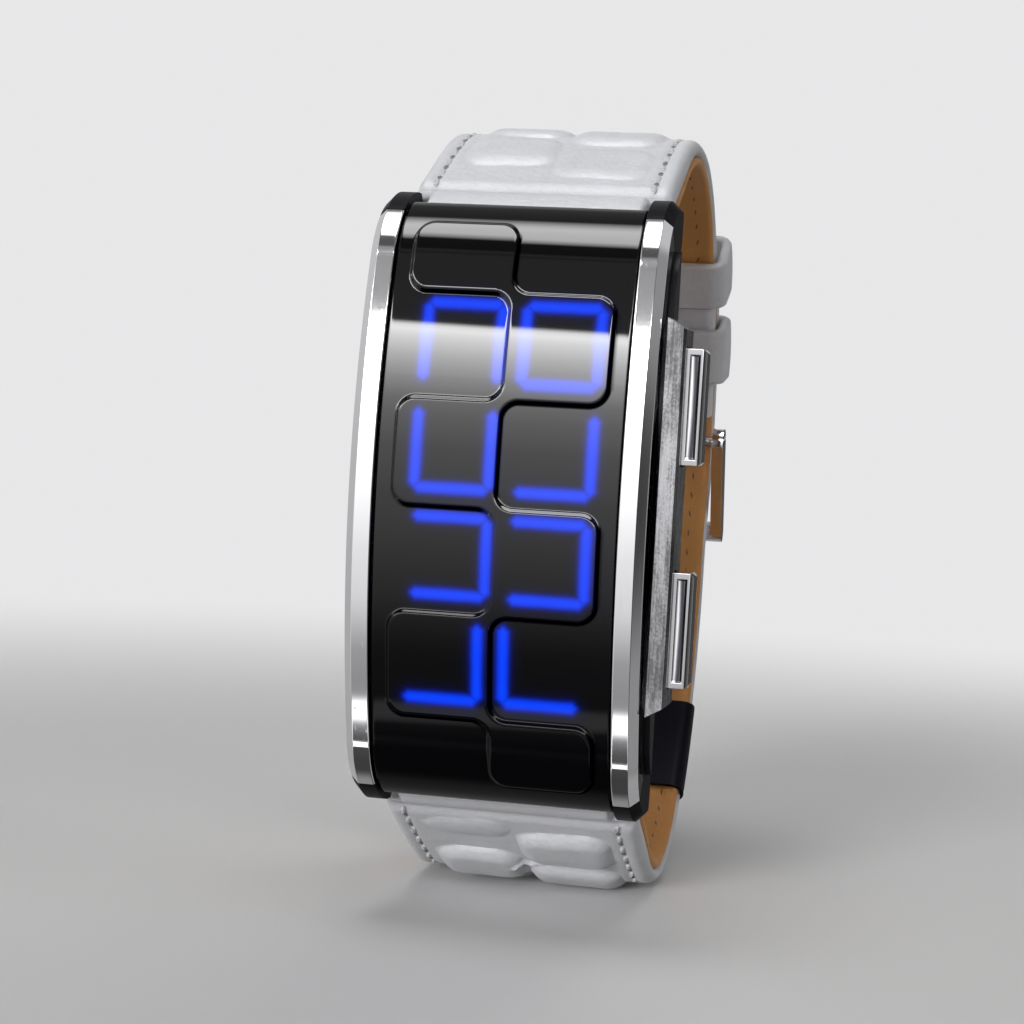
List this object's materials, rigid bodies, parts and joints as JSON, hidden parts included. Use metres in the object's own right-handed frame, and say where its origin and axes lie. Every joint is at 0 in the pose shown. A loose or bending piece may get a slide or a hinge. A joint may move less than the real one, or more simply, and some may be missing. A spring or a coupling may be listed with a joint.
{
  "type": "led watch",
  "caption": "Upright wrist watch with a tall curved black crystal over a blue LED display, polished side rails, side pushers and a buckled padded white leather strap.",
  "frame": {"origin": "middle of the case back's outer face, which rests on the wrist", "axes": "+X towards the pusher side, +Y from the display through the case back into the strap's loop, +Z towards the upper end of the case"},
  "size_m": [0.0307, 0.0607, 0.075],
  "materials": {
    "black_case": "smooth black, satin",
    "chrome": "polished, with a bevelled outer edge",
    "crystal_black": "glossy, almost black, curved",
    "black_rubber": "matt",
    "mask_black": "matt",
    "blue_light": "lit blue light bars with a soft glow",
    "dark_segment": "unlit light bars",
    "led_chip": "small moulded chips",
    "board_green": "dark green board",
    "frame_plastic": "moulded, matt",
    "cell_steel": "plated cell case",
    "contact_brass": "thin spring strip",
    "steel": "fine brushed",
    "boss_grey": "dark grey satin",
    "white_leather": "smooth white, soft sheen, embossed",
    "tan_lining": "plain tan, fine grain",
    "dark_sleeve": "smooth near-black"
  },
  "bodies": {
    "case": {"case_middle": "black_case", "left_rail": "chrome", "right_rail": "chrome", "rail_pins": "steel", "crystal": "crystal_black", "crystal_seal": "black_rubber", "light_mask": "mask_black", "segments_lit": "blue_light", "segments_dark": "dark_segment", "led_chips": "led_chip", "display_board": "board_green", "module_frame": "frame_plastic", "battery_upper": "cell_steel", "battery_lower": "cell_steel", "battery_contact": "contact_brass", "case_back": "steel", "back_gasket": "black_rubber", "back_screws": "steel", "side_boss": "boss_grey", "button_guard": "steel", "guard_screws": "steel", "pusher_seals": "black_rubber", "strap_bar_upper": "steel", "strap_bar_lower": "steel", "strap_upper": "white_leather", "strap_upper_lining": "tan_lining", "strap_lower": "white_leather", "strap_lower_lining": "tan_lining", "fixed_keeper": "white_leather", "strap_sleeve": "dark_sleeve"},
    "pusher_upper": {"pusher_upper": "chrome", "pusher_clip_upper": "steel"},
    "pusher_lower": {"pusher_lower": "chrome", "pusher_clip_lower": "steel"},
    "buckle": {"buckle_frame": "chrome", "buckle_bar": "steel"},
    "tongue": {"buckle_tongue": "chrome"},
    "keeper": {"loose_keeper": "white_leather"}
  },
  "joints": [
    {"name": "pusher_upper_press", "type": "slide", "parent": "case", "child": "pusher_upper", "axis": [-1, 0, 0], "range_m": [0, 0.0008], "stiffness_N_per_m": 1500, "springref_m": -0.0004},
    {"name": "pusher_lower_press", "type": "slide", "parent": "case", "child": "pusher_lower", "axis": [-1, 0, 0], "range_m": [0, 0.0008], "stiffness_N_per_m": 1500, "springref_m": -0.0004},
    {"name": "buckle_swing", "type": "hinge", "parent": "case", "child": "buckle", "pos_m": [0, 0.04453, 0.00631], "axis": [1, 0, 0], "range_deg": [0, 8]},
    {"name": "tongue_lift", "type": "hinge", "parent": "buckle", "child": "tongue", "pos_m": [0, 0.04453, 0.00631], "axis": [1, 0, 0], "range_deg": [0, 12]},
    {"name": "keeper_slide", "type": "hinge", "parent": "case", "child": "keeper", "pos_m": [0, 0.01003, 0.00781], "axis": [1, 0, 0], "range_deg": [-4, 3]}
  ]
}
